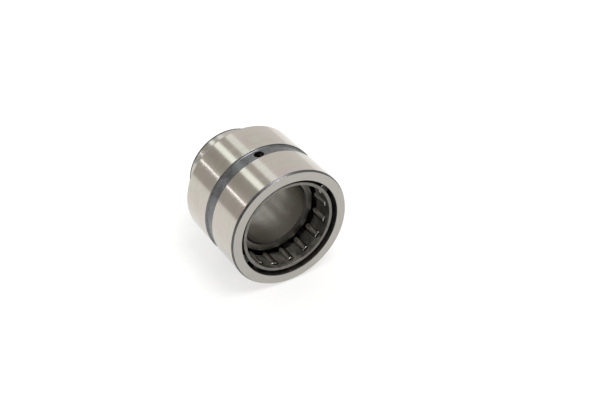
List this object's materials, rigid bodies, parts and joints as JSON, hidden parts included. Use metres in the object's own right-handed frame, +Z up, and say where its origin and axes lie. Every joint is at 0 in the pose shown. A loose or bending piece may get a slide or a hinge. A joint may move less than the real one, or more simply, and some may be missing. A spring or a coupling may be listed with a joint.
{
  "type": "needle roller bearing",
  "caption": "Needle roller bearing: grooved outer ring with an oil hole and integral ribs, caged needle rollers and a separable inner ring standing out at the back.",
  "frame": {"origin": "centre of the outer ring, on the bearing's axis, halfway between its two end faces", "axes": "Y along the bearing's axis, with -Y out of the front face and the inner ring standing out towards +Y; +Z up with the bearing lying on its side, and the oil hole 6 degrees past straight up"},
  "size_m": [0.027, 0.0265, 0.027],
  "materials": {
    "outer_ring_steel": "ground, with dark heat-treated groove and chamfers",
    "inner_ring_steel": "ground raceway, fine-ground bore",
    "cage_steel": "pressed sheet, dark, oiled",
    "needle_steel": "superfinished"
  },
  "bodies": {
    "outer_ring": {"outer_ring": "outer_ring_steel"},
    "cage": {"cage": "cage_steel"},
    "inner_ring": {"inner_ring": "inner_ring_steel"},
    "needle_01": {"needle_01": "needle_steel"},
    "needle_02": {"needle_02": "needle_steel"},
    "needle_03": {"needle_03": "needle_steel"},
    "needle_04": {"needle_04": "needle_steel"},
    "needle_05": {"needle_05": "needle_steel"},
    "needle_06": {"needle_06": "needle_steel"},
    "needle_07": {"needle_07": "needle_steel"},
    "needle_08": {"needle_08": "needle_steel"},
    "needle_09": {"needle_09": "needle_steel"},
    "needle_10": {"needle_10": "needle_steel"},
    "needle_11": {"needle_11": "needle_steel"},
    "needle_12": {"needle_12": "needle_steel"},
    "needle_13": {"needle_13": "needle_steel"},
    "needle_14": {"needle_14": "needle_steel"},
    "needle_15": {"needle_15": "needle_steel"},
    "needle_16": {"needle_16": "needle_steel"}
  },
  "joints": [
    {"name": "cage_spin", "type": "hinge", "parent": "outer_ring", "child": "cage", "pos_m": [0, 0, 0], "axis": [0, 1, 0], "continuous": true},
    {"name": "inner_ring_slide", "type": "slide", "parent": "cage", "child": "inner_ring", "axis": [0, 1, 0], "range_m": [-0.028, 0.015]},
    {"name": "needle_01_spin", "type": "hinge", "parent": "cage", "child": "needle_01", "pos_m": [0.01069, 0, 0.00131], "axis": [0, 1, 0], "continuous": true},
    {"name": "needle_02_spin", "type": "hinge", "parent": "cage", "child": "needle_02", "pos_m": [0.00937, 0, 0.0053], "axis": [0, 1, 0], "continuous": true},
    {"name": "needle_03_spin", "type": "hinge", "parent": "cage", "child": "needle_03", "pos_m": [0.00663, 0, 0.00849], "axis": [0, 1, 0], "continuous": true},
    {"name": "needle_04_spin", "type": "hinge", "parent": "cage", "child": "needle_04", "pos_m": [0.00288, 0, 0.01038], "axis": [0, 1, 0], "continuous": true},
    {"name": "needle_05_spin", "type": "hinge", "parent": "cage", "child": "needle_05", "pos_m": [-0.00131, 0, 0.01069], "axis": [0, 1, 0], "continuous": true},
    {"name": "needle_06_spin", "type": "hinge", "parent": "cage", "child": "needle_06", "pos_m": [-0.0053, 0, 0.00937], "axis": [0, 1, 0], "continuous": true},
    {"name": "needle_07_spin", "type": "hinge", "parent": "cage", "child": "needle_07", "pos_m": [-0.00849, 0, 0.00663], "axis": [0, 1, 0], "continuous": true},
    {"name": "needle_08_spin", "type": "hinge", "parent": "cage", "child": "needle_08", "pos_m": [-0.01038, 0, 0.00288], "axis": [0, 1, 0], "continuous": true},
    {"name": "needle_09_spin", "type": "hinge", "parent": "cage", "child": "needle_09", "pos_m": [-0.01069, 0, -0.00131], "axis": [0, 1, 0], "continuous": true},
    {"name": "needle_10_spin", "type": "hinge", "parent": "cage", "child": "needle_10", "pos_m": [-0.00937, 0, -0.0053], "axis": [0, 1, 0], "continuous": true},
    {"name": "needle_11_spin", "type": "hinge", "parent": "cage", "child": "needle_11", "pos_m": [-0.00663, 0, -0.00849], "axis": [0, 1, 0], "continuous": true},
    {"name": "needle_12_spin", "type": "hinge", "parent": "cage", "child": "needle_12", "pos_m": [-0.00288, 0, -0.01038], "axis": [0, 1, 0], "continuous": true},
    {"name": "needle_13_spin", "type": "hinge", "parent": "cage", "child": "needle_13", "pos_m": [0.00131, 0, -0.01069], "axis": [0, 1, 0], "continuous": true},
    {"name": "needle_14_spin", "type": "hinge", "parent": "cage", "child": "needle_14", "pos_m": [0.0053, 0, -0.00937], "axis": [0, 1, 0], "continuous": true},
    {"name": "needle_15_spin", "type": "hinge", "parent": "cage", "child": "needle_15", "pos_m": [0.00849, 0, -0.00663], "axis": [0, 1, 0], "continuous": true},
    {"name": "needle_16_spin", "type": "hinge", "parent": "cage", "child": "needle_16", "pos_m": [0.01038, 0, -0.00288], "axis": [0, 1, 0], "continuous": true}
  ],
  "couplings": [
    {"joint": "needle_01_spin", "follows": "cage_spin", "ratio": -9.632},
    {"joint": "needle_02_spin", "follows": "cage_spin", "ratio": -9.632},
    {"joint": "needle_03_spin", "follows": "cage_spin", "ratio": -9.632},
    {"joint": "needle_04_spin", "follows": "cage_spin", "ratio": -9.632},
    {"joint": "needle_05_spin", "follows": "cage_spin", "ratio": -9.632},
    {"joint": "needle_06_spin", "follows": "cage_spin", "ratio": -9.632},
    {"joint": "needle_07_spin", "follows": "cage_spin", "ratio": -9.632},
    {"joint": "needle_08_spin", "follows": "cage_spin", "ratio": -9.632},
    {"joint": "needle_09_spin", "follows": "cage_spin", "ratio": -9.632},
    {"joint": "needle_10_spin", "follows": "cage_spin", "ratio": -9.632},
    {"joint": "needle_11_spin", "follows": "cage_spin", "ratio": -9.632},
    {"joint": "needle_12_spin", "follows": "cage_spin", "ratio": -9.632},
    {"joint": "needle_13_spin", "follows": "cage_spin", "ratio": -9.632},
    {"joint": "needle_14_spin", "follows": "cage_spin", "ratio": -9.632},
    {"joint": "needle_15_spin", "follows": "cage_spin", "ratio": -9.632},
    {"joint": "needle_16_spin", "follows": "cage_spin", "ratio": -9.632}
  ]
}
